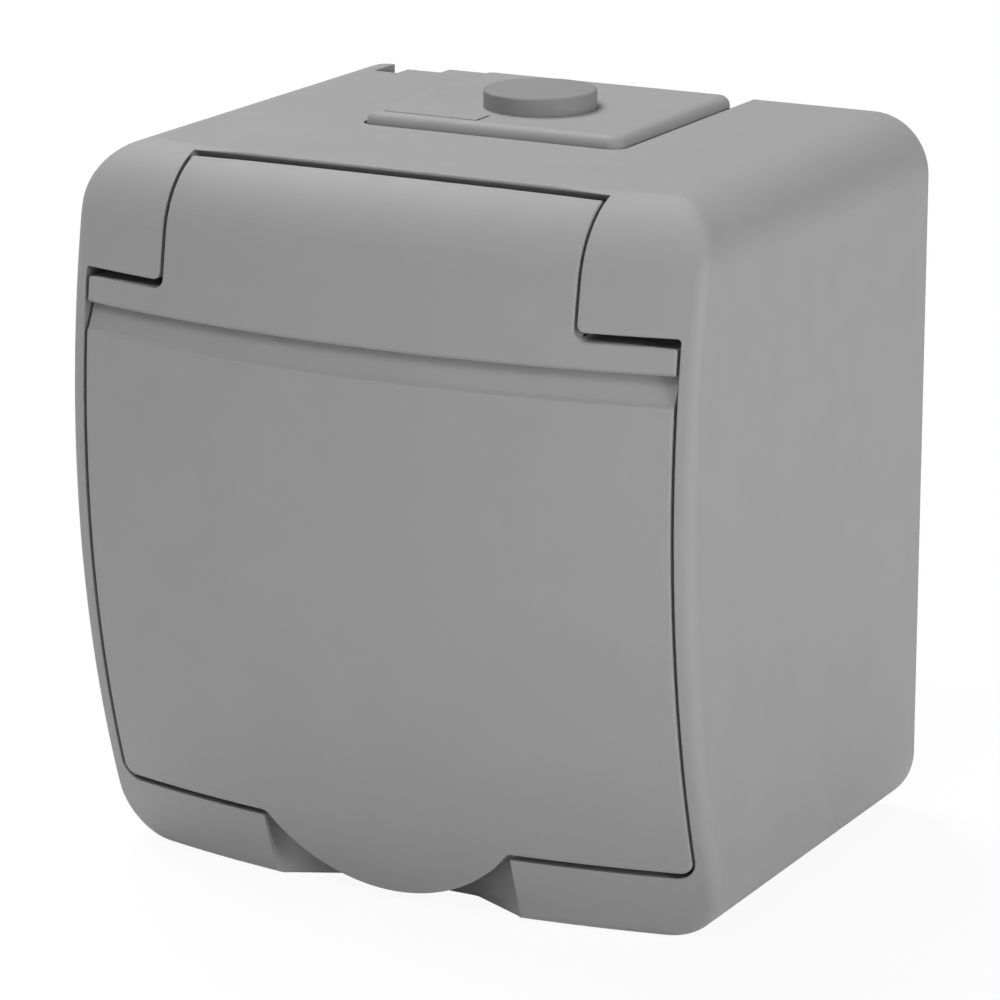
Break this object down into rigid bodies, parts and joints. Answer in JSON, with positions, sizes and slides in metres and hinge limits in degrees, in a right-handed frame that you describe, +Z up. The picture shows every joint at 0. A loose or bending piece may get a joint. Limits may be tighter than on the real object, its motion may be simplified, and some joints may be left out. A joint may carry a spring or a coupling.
{
  "type": "outdoor socket outlet",
  "caption": "Surface-mounted weatherproof wall socket: grey rounded housing with a sprung hinged lid, finger tab, top cable entry and a round side-earth plug well.",
  "frame": {"origin": "centre of the housing's back face, on the wall plane", "axes": "+X to the right seen from the front, +Y into the wall, +Z up; the front faces -Y"},
  "size_m": [0.07, 0.0594, 0.0781],
  "materials": {
    "housing_plastic": "satin moulded, fine grain",
    "grommet_rubber": "matte",
    "seal_rubber": "matte",
    "well_plastic": "satin moulded",
    "carrier_thermoset": "matte",
    "contact_brass": "stamped",
    "steel": "drawn",
    "spring_steel": "drawn wire",
    "zinc_steel": "zinc plated"
  },
  "bodies": {
    "housing": {"base_box": "housing_plastic", "front_cover": "housing_plastic", "housing_seal": "seal_rubber", "cable_grommet": "grommet_rubber", "socket_well": "well_plastic", "well_seal": "seal_rubber", "contact_carrier": "carrier_thermoset", "live_contact": "contact_brass", "neutral_contact": "contact_brass", "earth_bar": "contact_brass", "hinge_pin": "steel", "live_terminal_clamp": "zinc_steel", "neutral_terminal_clamp": "zinc_steel", "earth_terminal_clamp": "zinc_steel", "live_terminal_screw": "zinc_steel", "neutral_terminal_screw": "zinc_steel", "earth_terminal_screw": "zinc_steel", "carrier_screw_left": "zinc_steel", "carrier_screw_right": "zinc_steel", "cover_screw_left": "zinc_steel", "cover_screw_right": "zinc_steel"},
    "lid": {"lid": "housing_plastic", "lid_gasket": "seal_rubber", "lid_spring": "spring_steel"}
  },
  "joints": [
    {"name": "lid_hinge", "type": "hinge", "parent": "housing", "child": "lid", "pos_m": [0, -0.0526, 0.032], "axis": [-1, 0, 0], "range_deg": [0, 110], "stiffness_Nm_per_rad": 0.03, "springref_deg": -57.3}
  ]
}
